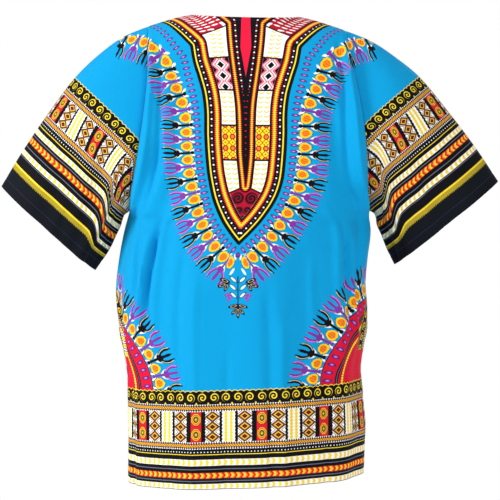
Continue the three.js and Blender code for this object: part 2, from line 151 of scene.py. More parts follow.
# Troughs (depth above 0) and ridges down the cloth. The widest are in the solid too, and the rest are finer.
FOLD_NAMES = "share lean top foot width depth"
FOLDS = {
    "back": table(FOLD_NAMES, [
        (-0.62, 0.05, 70, 330, 0.09, 7),
        (-0.78, -0.12, 200, 560, 0.08, 9),
        (-0.5, -0.06, 330, 758, 0.12, 6),
        (-0.12, 0.03, 420, 758, 0.11, 4),
        (0.34, 0.04, 360, 758, 0.13, 6),
        (0.7, 0.06, 120, 480, 0.08, 7),
        (0.82, -0.08, 470, 758, 0.1, 6),
        (-0.545, -0.035, 330, 460, 0.022, 10),
        (-0.5, -0.03, 300, 540, 0.03, -5),
        (-0.6, -0.03, 340, 500, 0.024, -5),
        (-0.72, 0.07, 330, 440, 0.025, 5),
        (0.585, 0.07, 340, 490, 0.022, 8),
        (0.53, 0.05, 310, 560, 0.03, -4.5),
        (0.66, 0.06, 350, 520, 0.025, -4),
        (0.78, -0.04, 330, 450, 0.025, 5),
        (-0.35, -0.05, 360, 700, 0.028, 3.4),
        (-0.27, -0.04, 400, 720, 0.025, -2.2),
        (0.12, 0.04, 430, 758, 0.03, 3),
        (0.2, 0.03, 470, 758, 0.025, -2),
        (0.46, 0.03, 480, 758, 0.028, 3.4),
        (0.38, 0.02, 380, 640, 0.025, -2),
        (-0.44, -0.02, 520, 758, 0.03, 3),
        (-0.84, 0.08, 40, 300, 0.03, 6),
        (-0.92, 0.04, 30, 320, 0.028, -6),
        (0.85, -0.07, 40, 300, 0.03, 6),
        (0.92, -0.04, 30, 320, 0.028, -6),
        (-0.8, 0.03, 560, 758, 0.04, 4.5),
        (-0.1, -0.02, 520, 758, 0.02, 1.6),
    ]),
    "front": table(FOLD_NAMES, [
        (-0.7, 0.06, 90, 360, 0.09, 7),
        (-0.3, -0.03, 300, 758, 0.1, 6),
        (0.06, 0.03, 380, 758, 0.1, 5),
        (0.36, 0.02, 260, 758, 0.1, 6),
        (0.74, -0.05, 80, 340, 0.09, 6),
        (-0.52, -0.06, 300, 480, 0.04, 3),
        (0.62, 0.07, 290, 470, 0.035, 4),
        (-0.12, 0.02, 420, 740, 0.045, 1.8),
        (0.22, -0.03, 330, 690, 0.05, 2),
        (-0.84, 0.08, 130, 270, 0.04, 3),
        (0.86, -0.06, 110, 290, 0.04, 3),
    ]),
}

SLEEVE_NAMES = "along topX topZ lowX lowZ depth square"
SLEEVES = {
    "left": table(SLEEVE_NAMES, [
        (0, -161, -19.5, -191, -323, 80, 2),
        (0.126, -203, -38, -199, -328, 84, 2),
        (0.28, -247, -71, -203, -337, 84, 1.95),
        (0.42, -283, -107, -206, -347, 80, 1.9),
        (0.613, -325, -163, -213, -362, 73, 1.85),
        (0.82, -367, -225, -225, -387, 63, 1.8),
        (1, -401, -281, -247, -419, 56, 1.75),
    ]),
    "right": table(SLEEVE_NAMES, [
        (0, 163, -26.5, 200, -321, 80, 2),
        (0.126, 205, -44, 209, -325, 84, 2),
        (0.28, 246, -71, 214, -334, 84, 1.95),
        (0.42, 284, -102, 215, -345, 80, 1.9),
        (0.613, 331, -158, 222, -361, 73, 1.85),
        (0.82, 376, -217, 231, -384, 63, 1.8),
        (1, 413.6, -273, 243.5, -409.5, 57, 1.75),
    ]),
}
SIDES = {"left": -1, "right": 1}
ARMHOLE_FADE = 0.4
SLEEVE_FOLD_NAMES = "around lean start stop width depth"
SLEEVE_FOLDS = {
    "left": table(SLEEVE_FOLD_NAMES, [
        (0.72, 0.16, 0, 1, 0.08, -9),
        (0.88, 0.06, 0, 0.9, 0.07, 10),
        (0.4, 0.08, 0.3, 1, 0.09, 5),
        (-0.3, -0.05, 0.2, 1, 0.1, 5),
        (-0.64, -0.06, 0.1, 1, 0.09, 7),
        (0.22, 0.03, 0.1, 0.55, 0.05, 2.5),
        (0.56, 0.1, 0.05, 0.6, 0.05, 3),
        (0.77, 0.1, 0.1, 1, 0.03, 9),
        (0.69, 0.1, 0.1, 1, 0.035, -4),
        (0.5, 0.12, 0.5, 1, 0.04, 2.5),
    ]),
    "right": table(SLEEVE_FOLD_NAMES, [
        (0.72, 0.16, 0, 1, 0.08, -9),
        (0.88, 0.06, 0, 0.9, 0.07, 10),
        (0.4, 0.08, 0.3, 1, 0.09, 5),
        (-0.3, -0.05, 0.2, 1, 0.1, 5),
        (-0.64, -0.06, 0.1, 1, 0.09, 7),
        (0.16, 0.05, 0.1, 0.6, 0.05, 2.5),
        (0.58, 0.08, 0.05, 0.7, 0.05, 3),
        (0.76, 0.1, 0.15, 1, 0.03, 7),
        (0.46, 0.1, 0.4, 1, 0.04, 2.5),
    ]),
}

# How far the print slides towards the armhole in the fold by the underarm.
SLEEVE_SLIDE = {"left": 27, "right": 20}

# How finely each piece is divided.
COLUMN_STEP = 0.0125
ROWS = 190
SLEEVE_AROUND = 64
SLEEVE_RINGS = 92
POCKET_GRID = (44, 50)
ARC_POINTS = 97
EDGE_POINTS = 141
SHARP_DEGREES = 50

# A pocket's edges as shares and distances down, and how far it stands off the front.
POCKET = {"side": 0.985, "inner": 0.515, "top": 424, "side_top": 538, "foot": 641}
POCKET_LIFT = 2.4
POCKET_SEWN = 1.2
POCKET_GAPE, GAPE_DEEP = 3, 16


def smooth(value):
    value = np.clip(value, 0, 1)
    return value * value * (3 - 2 * value)


def hermite(part, start, start_slope, stop, stop_slope):
    """A cubic curve from start to stop, part of the way along."""
    squared, cubed = part**2, part**3
    return (
        (2 * cubed - 3 * squared + 1) * start
        + (cubed - 2 * squared + part) * start_slope
        + (3 * squared - 2 * cubed) * stop
        + (cubed - squared) * stop_slope
    )


def bell(distance, width):
    return np.exp(-((distance / width) ** 2))


def read(rows, key, column, place):
    """A column of a table at any place between its rows, on a smooth curve through them."""
    keys, values = rows[key], rows[column]
    if keys[0] > keys[-1]:
        keys, place = -keys, -np.asarray(place, float)
    place = np.clip(place, keys[0], keys[-1])
    slopes = np.gradient(values, keys)
    slopes[1:-1] = (values[2:] - values[:-2]) / (keys[2:] - keys[:-2])
    row = np.clip(np.searchsorted(keys, place, side="right") - 1, 0, len(keys) - 2)
    gap = keys[row + 1] - keys[row]
    part = (place - keys[row]) / gap
    return hermite(part, values[row], gap * slopes[row], values[row + 1], gap * slopes[row + 1])


def lengths_along(line):
    steps = np.linalg.norm(np.diff(line, axis=0), axis=1)
    return np.concatenate([[0], np.cumsum(steps)])


def side_name(side):
    return "left" if side < 0 else "right"


def points_at(line, shares):
    """Points on a line of points at these shares of its length."""
    lengths = lengths_along(line)
    places = np.asarray(shares) * lengths[-1]
    return np.stack([np.interp(places, lengths, line[:, axis]) for axis in range(3)], axis=1)


def armhole_point(down, side, facing):
    out, depth, z = (read(ARMHOLE, "down", column, down) for column in (side_name(side), "depth", "z"))
    return np.array([side * out, facing * depth, z])


def side_point(down, side, facing):
    share = (down - UNDERARM_DOWN) / (HEM_DOWN - UNDERARM_DOWN)
    z = SIDE["z"][0] + (SIDE["z"][-1] - SIDE["z"][0]) * share
    vent = smooth((down - VENT_DOWN) / (HEM_DOWN - VENT_DOWN)) * VENT_GAP / 2
    return np.array([side * read(SIDE, "z", side_name(side), z), facing * vent, z])


def half_row(down, side, panel, shares):
    """Points at shares of one half of a row, from the middle to the armhole or side seam."""
    facing, middle = FACING[panel], MIDDLE[panel]
    end = (armhole_point if down <= UNDERARM_DOWN else side_point)(down, side, facing)
    power = 2 / read(middle, "down", "square", down)
    angle = np.linspace(0, math.pi / 2, ARC_POINTS)
    inward = np.clip(np.cos(angle), 0, 1) ** power
    line = np.stack([
        end[0] * np.sin(angle) ** power,
        end[1] + (facing * read(middle, "down", "out", down) - end[1]) * inward,
        end[2] + (read(middle, "down", "z", down) - end[2]) * inward,
    ], axis=1)
    return points_at(line, shares)


def top_edge(share, side, panel):
    """The neck opening from the middle, then the shoulder seam."""
    depth, dip, sharpness = NECK[panel]
    inward = np.clip(np.cos(math.pi / 2 * np.minimum(share / NECK_SHARE, 1)), 0, 1)
    out = np.sin(math.pi / 2 * np.minimum(share / NECK_SHARE, 1))
    along = np.clip((share - NECK_SHARE) / (1 - NECK_SHARE), 0, 1)
    tip = armhole_point(0, side, FACING[panel])
    x = side * NECK_HALF * out + (tip[0] - side * NECK_HALF) * along
    z = -1 - dip * inward**sharpness - SHOULDER_DROP * along**1.25
    return np.stack([x, FACING[panel] * depth * inward, z], axis=1)


def panel_rows(panel, places, downs):
    """The smooth surface of the back or front: rows at these distances down, columns at these places."""
    grid = np.zeros((len(downs), len(places), 3))
    for side, chosen in ((-1, places < 0), (1, places >= 0)):
        share = np.abs(places[chosen])
        blend = half_row(BLEND_DOWN, side, panel, share)
        slope = (half_row(BLEND_DOWN + SLOPE_STEP, side, panel, share) - blend) * (BLEND_DOWN / SLOPE_STEP)
        top = top_edge(share, side, panel)
        chord = blend - top
        level = np.zeros_like(chord)
        level[:, 1] = FACING[panel] * np.linalg.norm(chord, axis=1)
        start = chord + (level - chord) * (SHOULDER_ROUND * smooth((share - 0.4) / 0.25))[:, None]
        for row, down in enumerate(downs):
            if down >= BLEND_DOWN:
                grid[row, chosen] = half_row(down, side, panel, share)
                continue
            grid[row, chosen] = hermite(down / BLEND_DOWN, top, start, blend, slope)
    tilt = TILT[0] + (TILT[1] - TILT[0]) * downs / HEM_DOWN
    grid[:, :, 2] += grid[:, :, 0] * tilt[:, None]
    return grid


def normals_of(grid, closed, flip):
    if closed:
        across = np.roll(grid, -1, axis=1) - np.roll(grid, 1, axis=1)
    else:
        across = np.gradient(grid, axis=1)
    normals = np.cross(across, np.gradient(grid, axis=0)) * flip
    return normals / np.maximum(np.linalg.norm(normals, axis=2, keepdims=True), 1e-9)


def fold_depth(folds, across_name, start_name, stop_name, across, along, ease):
    """How far the cloth is pushed in by a table of soft troughs and ridges."""
    depth = np.zeros(np.broadcast(across, along).shape)
    names = (across_name, "lean", start_name, stop_name, "width", "depth")
    for middle, lean, start, stop, width, amount in zip(*(folds[name] for name in names)):
        part = np.clip((along - start) / (stop - start), 0, 1)
        fade = smooth((along - start) / ease) * smooth((stop + ease - along) / ease)
        depth += amount * fade * bell(across - middle - lean * part, width)
    return depth


def running(grid, axis):
    """Distance along each line of a grid from its first point."""
    steps = np.linalg.norm(np.diff(grid, axis=axis), axis=2)
    total = np.cumsum(steps, axis=axis)
    first = np.zeros_like(np.take(total, [0], axis=axis))
    return np.concatenate([first, total], axis=axis)


def flattened(grid, down_map):
    """Where each point of a panel lies on the flat cloth: from the middle line, and down it."""
    middle = grid.shape[1] // 2
    row_steps = np.linalg.norm(np.diff(grid, axis=1), axis=2)
    column_steps = np.linalg.norm(np.diff(grid, axis=0), axis=2)
    reference = [np.argmin(np.abs(down_map[:, column] - REFERENCE_DOWN)) for column in range(grid.shape[1])]
    across = np.zeros(grid.shape[:2])
    down = np.zeros(grid.shape[:2])
    for _ in range(FLATTEN_ROUNDS):
        level = np.sqrt(np.maximum(row_steps**2 - np.diff(down, axis=1) ** 2, (0.5 * row_steps) ** 2))
        across = np.concatenate([np.zeros((len(grid), 1)), np.cumsum(level, axis=1)], axis=1)
        across -= across[:, [middle]]
        plumb = np.sqrt(np.maximum(column_steps**2 - np.diff(across, axis=0) ** 2, (0.5 * column_steps) ** 2))
        down[1:] = np.cumsum(plumb, axis=0)
        down[0] = 0
        for column, row in enumerate(reference):
            down[:, column] += down_map[row, column] - down[row, column]
    return across, down


def panel_surface(panel):
    """The back or front as grids: folded points, and where each point lies on the flat cloth."""
    count = round(1 / COLUMN_STEP)
    places = np.arange(-count, count + 1) * COLUMN_STEP
    downs = HEM_DOWN * np.linspace(0, 1, ROWS + 1)
    grid = panel_rows(panel, places, downs)
    notch = NOTCH_DOWN[panel] * np.clip(1 - np.abs(places) / NOTCH_SHARE, 0, 1)
    down_map = notch[None, :] + downs[:, None] * (HEM_DOWN - notch[None, :]) / HEM_DOWN
    for column in np.flatnonzero(notch):
        for axis in range(3):
            grid[:, column, axis] = np.interp(down_map[:, column], downs, grid[:, column, axis].copy())
    across, down = flattened(grid, down_map)
    length = running(grid, 0)
    up = length[[-1], :] - length
    share = np.broadcast_to(places[None, :], across.shape)
    normals = normals_of(grid, False, FACING[panel])
    depth = fold_depth(FOLDS[panel], "share", "top", "foot", share, down_map, 60)
    edge = across[:, [-1]] * (1 - np.abs(share))
    depth = depth * smooth((1 - np.abs(share)) / 0.08)
    depth += SEAM_DENT * bell(edge, SEAM_WIDTH) * (up > VENT_LENGTH)
    depth += SHOULDER_DENT * bell(length, SEAM_WIDTH) * (np.abs(share) > NECK_SHARE)
    depth += HEM_DENT * bell(up - HEM_FOLD, HEM_DENT_WIDTH)
    ripple = np.sin(across / 7.3 + 2 * np.sin(across / 41))
    depth += HEM_PUCKER * ripple * bell(up - HEM_FOLD, PUCKER_WIDTH)
    folded = grid - normals * depth[:, :, None]
    return {
        "points": folded, "normals": normals_of(folded, False, FACING[panel]), "closed": False,
        "flip": FACING[panel], "share": share, "across": across, "up": up, "down": down, "length": length,
    }


def sleeve_surface(name):
    """A sleeve as rings from the armhole to the cuff: the back half from top to underarm, then the front."""
    rows, side = SLEEVES[name], SIDES[name]
    shares = np.linspace(0, 1, SLEEVE_AROUND + 1)
    edge, start = {}, {}

    def half_ring(along, facing):
        top_x, top_z, low_x, low_z, deep, square = (read(rows, "along", column, along)
                                                    for column in SLEEVE_NAMES.split()[1:])
        top, low = np.array([top_x, 0, top_z]), np.array([low_x, 0, low_z])
        angle = np.linspace(0, math.pi, ARC_POINTS)
        across = np.sign(np.cos(angle)) * np.abs(np.cos(angle)) ** (2 / square)
        line = (top + low) / 2 + np.outer(across, (top - low) / 2)
        line[:, 1] = facing * deep * np.clip(np.sin(angle), 0, 1) ** (2 / square)
        return points_at(line, shares)

    downs = np.linspace(0, UNDERARM_DOWN, EDGE_POINTS)
    lengths = lengths_along(panel_rows("back", np.array([side * 1.0]), downs)[:, 0])
    edge_downs = np.interp(shares, lengths / lengths[-1], downs)
    for panel, facing in FACING.items():
        edge[panel] = panel_rows(panel, np.array([side * 1.0]), edge_downs)[:, 0]
        start[panel] = half_ring(0, facing)
    rings = []
    for along in np.linspace(0, 1, SLEEVE_RINGS + 1):
        hold = 1 - smooth(along / ARMHOLE_FADE)
        halves = {panel: half_ring(along, facing) + (edge[panel] - start[panel]) * hold
                  for panel, facing in FACING.items()}
        rings.append(np.concatenate([halves["back"], halves["front"][1:-1][::-1]]))
    grid = np.array(rings)
    around = np.concatenate([shares, -shares[1:-1][::-1]])[None, :] + np.zeros(grid.shape[:2])
    along = np.linspace(0, 1, SLEEVE_RINGS + 1)[:, None] + np.zeros(grid.shape[:2])
    length = running(grid, 0)
    up = length[[-1], :] - length
    across = running(grid, 1)
    normals = normals_of(grid, True, side)
    depth = fold_depth(SLEEVE_FOLDS[name], "around", "start", "stop", around, along, 0.3)
    depth *= smooth((along - 0.1) / 0.5) * smooth((1 - np.abs(around)) / 0.1)
    depth += SEAM_DENT * bell(length, SEAM_WIDTH) + HEM_DENT * bell(up - HEM_FOLD, HEM_DENT_WIDTH)
    folded = grid - normals * depth[:, :, None]
    slide = SLEEVE_SLIDE[name] * smooth((around - 0.66 - 0.1 * along) / 0.12)
    return {
        "points": folded, "normals": normals_of(folded, True, side), "closed": True, "flip": side,
        "smooth": grid, "across": across, "up": up, "print_up": up + slide * smooth((up - 8) / 40),
        "length": length, "edge_downs": edge_downs,
    }


def pocket_surface(front, side):
    """A patch on the front's own points, moved out, with its opening slanting down to the side seam."""
    rows, columns = POCKET_GRID
    part_down = np.linspace(0, 1, rows + 1)[:, None]
    part_out = np.linspace(0, 1, columns + 1)[None, :]
    share = POCKET["inner"] + (POCKET["side"] - POCKET["inner"]) * (part_out if side > 0 else 1 - part_out)
    out = (share - POCKET["inner"]) / (POCKET["side"] - POCKET["inner"])
    opening = POCKET["top"] + (POCKET["side_top"] - POCKET["top"]) * out
    down = opening + (POCKET["foot"] - opening) * part_down
    share = np.broadcast_to(share, down.shape)
    row = down / HEM_DOWN * ROWS
    column = (side * share + 1) / COLUMN_STEP

    def pick(layer):
        i = np.clip(np.floor(row).astype(int), 0, layer.shape[0] - 2)
        j = np.clip(np.floor(column).astype(int), 0, layer.shape[1] - 2)
        a, b = row - i, column - j
        if layer.ndim == 3:
            a, b = a[:, :, None], b[:, :, None]
        upper = layer[i, j] * (1 - b) + layer[i, j + 1] * b
        lower = layer[i + 1, j] * (1 - b) + layer[i + 1, j + 1] * b
        return upper * (1 - a) + lower * a

    normals = pick(front["normals"])
    normals /= np.linalg.norm(normals, axis=2, keepdims=True)
    flat_across, flat_up = pick(front["across"]), pick(front["up"])
    mouth = np.stack([flat_across[0], flat_up[0], np.zeros(columns + 1)], axis=1)
    heading = mouth[-1] - mouth[0]
    heading /= np.linalg.norm(heading)
    relative = np.stack([flat_across - mouth[0, 0], flat_up - mouth[0, 1]], axis=2)
    along = relative[:, :, 0] * heading[0] + relative[:, :, 1] * heading[1]
    under = np.abs(relative[:, :, 0] * heading[1] - relative[:, :, 1] * heading[0])
    edge = np.minimum(np.minimum(1 - part_down, part_out), 1 - part_out) * np.ones(down.shape)
    lift = POCKET_LIFT + POCKET_GAPE * bell(under, GAPE_DEEP) * np.sin(math.pi * part_out)
    lift = lift - POCKET_SEWN * bell(edge, 0.03) * (under > 12)
    points = pick(front["points"]) + normals * lift[:, :, None]
    return {
        "points": points, "normals": normals_of(points, False, 1), "closed": False, "flip": 1,
        "layers": {"cloth": (along, under, under)},
    }


# The print's guide lines on the flat cloth, as (out from the middle, down the cloth).
SHIELD_CORNER, SHIELD_EDGE = 3, [
    (176, -36), (150, -8), (138, 5), (89, 58), (84, 86), (76, 112), (69, 138), (65.5, 167), (65, 203),
    (63, 238), (59, 273), (50, 305), (33.5, 336), (17, 358), (0, 377),
]
OPENING_CORNER, OPENING_EDGE = 2, [
    (90, -50), (64, -28), (23, 12), (20, 52), (17, 80), (13.3, 108), (9.5, 135), (6.9, 160), (5.6, 200),
    (5, 235), (0, 285),
]
# Through the buds' outer ends, up the back and over the armhole seam.
FLOWER_GUIDE = [
    (0, 422), (22.5, 416), (35, 405), (52, 386), (68.5, 364), (92, 315), (103, 276), (108, 240), (110, 203),
    (113, 172), (121, 147), (133, 122), (141, 99), (152, 86), (172, 78), (215, 62),
]
FLOWER_PITCH = 22.3
GUIDE_OFFSET = 45
OVAL_OFFSET = 12
FLOWER_REACH = 115
SHIELD_REACH = 4
GUIDE_SHARES = 300

# The print slants to one side by PRINT_LEAN over this stretch of the cloth.
PRINT_LEAN, LEAN_DOWN, LEAN_LENGTH = 12, 270, 130

# Inside the shield: the panels lie this far from its edge and from the opening, and the pink ones start here.
PANEL_IN, PANEL_OUT = 28, 10.1
PINK_TOP = 76
DOT_PITCH = 10.5

# The body's prints, in the order of its material slots.
BODY_PRINTS = ["side", "shield", "flowers", "border"]

# The leaf cluster below the shield: out from the middle, down, angle, half length, half width, colour.
TIP_LEAVES = [
    (20, 431, -20, 8.5, 3.4, "black"), (24, 438, 20, 8, 3.2, "black"), (18, 441, 65, 7, 3, "black"),
    (15, 453, 10, 6.5, 2.8, "purple"), (13, 458, 60, 6, 2.6, "purple"),
    (7, 429, -42, 8, 2.7, "teal"), (8, 441, -42, 8.5, 2.7, "teal"), (7, 453, -42, 7.5, 2.5, "teal"),
    (7, 470, 14, 8.5, 2.8, "black"), (5, 477, 52, 8, 2.8, "black"), (0, 480, 90, 9, 3, "black"),
]

# The borders: where the hem border starts, the repeat of its tiles and curls, and its narrow bands from the
# lowest up: checks, links, checks, then the heights of the dots and the gold line.
BORDER_UP = 147.5
TILE_REPEAT = 102
CURL_PITCH = 18.4
BRAID_WIDE = 11
HEM_BANDS = ((1, 8.5), (17, 25.5), (36.5, 46), 57.5, 53.5)
CUFF_BANDS = ((64, 72), (86, 95.5), (104, 112), 123.5, 118.5)

# The half medallions at the side seams, the pleat that hides part of one, and the slanted edging below it.
MEDALLION = {"up": 151, "out": 145, "high": 137, "size": 141, "pitch": 22.1}
PLEAT = {"hidden": 29, "out": 34, "wide": 22}
POCKET_EDGING = {"top": 338, "foot": 200, "slope": 0.5, "out": 54}


def guide_line(points, corner=None):
    """A fine line through guide points, smooth but for one corner."""
    pieces = [points] if corner is None else [points[: corner + 1], points[corner:]]
    fine = []
    for piece in pieces:
        x, down = np.array(piece, float).T
        along = np.concatenate([[0], np.cumsum(np.hypot(np.diff(x), np.diff(down)))])
        rows = {"along": along, "x": x, "down": down}
        places = np.linspace(0, along[-1], int(along[-1] / 2) + 2)
        fine.append(np.stack([read(rows, "along", name, places) for name in ("x", "down")], axis=1))
    return np.concatenate([fine[0]] + [line[1:] for line in fine[1:]])


def along_and_off(line, out, down):
    """For each point: how far along a guide line it lies, and how far from the line."""
    heads, steps = line[:-1], np.diff(line, axis=0)
    lengths = np.hypot(*steps.T)
    starts = np.concatenate([[0], np.cumsum(lengths)])[:-1]
    along, off = np.zeros(out.shape), np.zeros(out.shape)
    for row in range(len(out)):
        offset = np.stack([out[row], down[row]], axis=1)[:, None, :] - heads[None]
        part = np.clip((offset * steps).sum(axis=2) / lengths**2, 0, 1)
        gap = np.linalg.norm(offset - part[:, :, None] * steps, axis=2)
        nearest = gap.argmin(axis=1)
        picked = np.arange(len(nearest))
        along[row] = starts[nearest] + part[picked, nearest] * lengths[nearest]
        off[row] = gap[picked, nearest]
    return along, off


def along_and_out(line, out, down):
    """The same, with the distance below 0 on the middle's side of the line."""
    order = np.argsort(line[:, 1])
    outside = out > np.interp(down, line[order, 1], line[order, 0])
    along, off = along_and_off(line, out, down)
    return along, off * np.where(outside, 1, -1)


def line_between(first, second, share):
    """The line that lies this share of the way from one line to another."""
    places = np.linspace(0, 1, GUIDE_SHARES)
    first, second = [
        np.stack([np.interp(places, np.linspace(0, 1, len(line)), part) for part in line.T], axis=1)
        for line in (first, second)
    ]
    return first + (second - first) * share


def flower_places(out, down):
    along, off = along_and_out(guide_line(FLOWER_GUIDE), out, down)
    return along, GUIDE_OFFSET + off


def print_places(surface):
    """Adds to a panel what its print is drawn from, point by point."""
    down, up = surface["down"], surface["up"]
    across = surface["across"] + PRINT_LEAN * smooth((down - LEAN_DOWN) / LEAN_LENGTH)
    out = np.abs(across)
    shield = guide_line(SHIELD_EDGE, SHIELD_CORNER)
    shield_along, shield_out = along_and_out(shield, out, down)
    opening_out = along_and_out(guide_line(OPENING_EDGE, OPENING_CORNER), out, down)[1]
    flower_along, flower_out = flower_places(out, down)
    middle = line_between(shield[::-1], guide_line(FLOWER_GUIDE), OVAL_OFFSET / GUIDE_OFFSET)
    oval_along, oval_off = along_and_out(middle, out, down)
    edge = np.where(surface["share"] < 0, -surface["across"][:, [0]], surface["across"][:, [-1]])
    seam = edge - np.abs(surface["across"])
    pleat = smooth((down - 380) / 80) * (surface["across"] < 0)
    seam = seam + PLEAT["hidden"] * smooth((seam - PLEAT["out"]) / PLEAT["wide"]) * pleat
    surface["layers"] = {
        "cloth": (across, up, down),
        "shield": (shield_along, -shield_out, opening_out),
        "flowers": (flower_along, flower_out, seam),
        "ovals": (oval_along, oval_off, 0 * down),
    }
    face = np.full(down.shape, BODY_PRINTS.index("side"))
    face[flower_out < FLOWER_REACH] = BODY_PRINTS.index("flowers")
    face[shield_out < SHIELD_REACH] = BODY_PRINTS.index("shield")
    face[up < BORDER_UP] = BODY_PRINTS.index("border")
    surface["face"] = face
    return surface


def sleeve_places(surface, side, back, front):
    """Adds to a sleeve what its print is drawn from. The body's flowers go on over the armhole seam."""
    column = 0 if side < 0 else -1
    downs = np.linspace(0, HEM_DOWN, ROWS + 1)
    halves = [
        np.stack([np.interp(surface["edge_downs"], downs, np.abs(panel[key][:, column]))
                  for key in ("across", "down")], axis=1)
        for panel in (back, front)
    ]
    start = np.concatenate([halves[0], halves[1][1:-1][::-1]])
    move = (surface["smooth"] - surface["smooth"][[0]])[:, :, [0, 2]] * [side, -1]
    far = np.maximum(np.linalg.norm(move, axis=2), 1e-6)
    place = start[None, :] + move * (surface["length"] / far)[:, :, None]
    along, out = flower_places(place[:, :, 0], place[:, :, 1])
    surface["layers"] = {
        "cloth": (surface["across"], surface["print_up"], surface["length"]),
        "flowers": (along, out, 0 * along),
    }
    return surface


def add_object(name, data):
    thing = bpy.data.objects.new(name, data)
    bpy.context.collection.objects.link(thing)
    return thing


def mesh_from(name, corners, faces, materials):
    mesh = bpy.data.meshes.new(name)
    mesh.from_pydata(corners, [], faces)
    for material in materials:
        mesh.materials.append(material)
    return mesh


def shell(name, surface, extra, materials):
    """A thin closed shell on a surface: its outer face, its inner face, and the rims between them."""
    points, normals, closed = surface["points"], surface["normals"], surface["closed"]
    rows, columns = points.shape[:2]
    inner = points - normals * (CLOTH + extra * np.ones((rows, columns)))[:, :, None]
    corners = np.concatenate([points.reshape(-1, 3), inner.reshape(-1, 3)]) * MM
    number = np.arange(rows * columns).reshape(rows, columns)
    if closed:
        number = np.concatenate([number, number[:, :1]], axis=1)
    under = number + rows * columns
    quads = [
        (number[:-1, :-1], number[:-1, 1:], number[1:, 1:], number[1:, :-1]),
        (under[:-1, :-1], under[1:, :-1], under[1:, 1:], under[:-1, 1:]),
    ]
    rims = [(number[0], under[0]), (under[-1], number[-1])]
    if not closed:
        rims += [(under[:, 0], number[:, 0]), (number[:, -1], under[:, -1])]
    quads += [(near[:-1], far[:-1], far[1:], near[1:]) for near, far in rims]
    faces = np.concatenate([np.stack(quad, axis=-1).reshape(-1, 4) for quad in quads])
    if surface["flip"] < 0:
        faces = faces[:, ::-1]
    mesh = mesh_from(name, corners.tolist(), faces.tolist(), materials)
    for layer, values in surface["layers"].items():
        data = np.stack([np.tile(value.ravel(), 2) for value in np.broadcast_arrays(*values)], axis=1)
        mesh.attributes.new(layer, "FLOAT_VECTOR", "POINT").data.foreach_set("vector", data.ravel())
    reverse = np.repeat([0.0, 1.0], rows * columns)
    mesh.attributes.new("reverse", "FLOAT", "POINT").data.foreach_set("value", reverse)
    if "face" in surface:
        kinds = np.tile(surface["face"].ravel(), 2)[faces[:, 0]]
        mesh.polygons.foreach_set("material_index", kinds.astype(np.int32))
    mesh.shade_smooth()
    mesh.set_sharp_from_angle(angle=math.radians(SHARP_DEGREES))
    mesh.validate()
    return add_object(name, mesh)


class Field:
    """A number worked out over the cloth by shader nodes."""

    def __init__(self, tree, socket):
        self.tree, self.socket = tree, socket

    def __add__(self, other):
        return calc("ADD", self, other)

    def __sub__(self, other):
        return calc("SUBTRACT", self, other)

    def __rsub__(self, other):
        return calc("SUBTRACT", other, self)

    def __mul__(self, other):
        return calc("MULTIPLY", self, other)

    def __truediv__(self, other):
        return calc("DIVIDE", self, other)

    __radd__, __rmul__ = __add__, __mul__


def calc(operation, *values, clamp=False):
    tree = next(value.tree for value in values if isinstance(value, Field))
    node = tree.nodes.new("ShaderNodeMath")
    node.operation, node.use_clamp = operation, clamp
    for slot, value in enumerate(values):
        if isinstance(value, Field):
            tree.links.new(value.socket, node.inputs[slot])
        else:
            node.inputs[slot].default_value = value
    return Field(tree, node.outputs[0])


def size(value):
    return calc("ABSOLUTE", value)


def both(first, *rest):
    """Inside all of these: each is below 0 inside."""
    for other in rest:
        first = calc("MAXIMUM", first, other)
    return first


def either(first, *rest):
    for other in rest:
        first = calc("MINIMUM", first, other)
    return first


def fold(value, pitch):
    """Distance to the nearest multiple of the pitch."""
    return calc("PINGPONG", value, pitch / 2)


def centred(value, pitch):
    """Signed distance from the nearest multiple of the pitch."""
    return calc("WRAP", value, pitch / 2, -pitch / 2)


def odd(value, pitch):
    """1 in every second cell of the pitch, 0 in the others."""
    return calc("PINGPONG", calc("ROUND", value / pitch), 1)


def reach(x, y):
    return calc("SQRT", calc("MULTIPLY_ADD", x, x, y * y))


def span(value, low, high):
    """Below 0 between low and high."""
    return size(value - (low + high) / 2) - (high - low) / 2


def curl(x, y, pitch, radius, thick):
    """A spiral line about x = 0, y = 0."""
    far = reach(x, y)
    turn = calc("ARCTAN2", y, x) * (pitch / (2 * math.pi))
    return both(fold(far - turn, pitch) - thick / 2, far - radius)


def ink(code):
    """A colour as seen on a screen, as the light values that shaders use."""
    parts = [int(code[i:i + 2], 16) / 255 for i in (0, 2, 4)]
    return (*[p / 12.92 if p <= 0.04045 else ((p + 0.055) / 1.055) ** 2.4 for p in parts], 1)


# The cotton: its weave's pitch in millimetres, its threads' and crumples' heights in metres, its surface.
WEAVE = 0.42
THREAD_HEIGHT = 0.00005
CRUMPLE_HEIGHT = 0.0016
COTTON = {"Roughness": 0.78, "Specular IOR Level": 0.09, "Sheen Weight": 0.02, "Sheen Roughness": 0.5}

INK = {name: ink(code) for name, code in {
    "blue": "049AD4", "black": "0B0B12", "cuff": "0D1219", "navy": "1B1F52", "teal": "0E6E8E",
    "wedge": "E81A3E", "medallion": "DA1236", "crimson": "B40F30", "maroon": "7A0D22", "red": "DB1A2C",
    "orange": "F7861E", "yellow": "FFDF32", "gold": "F3D534", "ochre": "F2AE36", "brown": "6A3A18",
    "white": "FBFAF3", "pink": "F0607F", "purple": "7A379C", "lilac": "CE8AD8",
    "lemon": "FFE21A", "bud": "FFCB1C", "grey": "6A7080", "olive": "83752E", "beige": "C9BFA0",
    "rust": "D8541A", "butter": "F3CF3A", "plum": "2E1A44", "reverse": "A9C4D2",
}.items()}


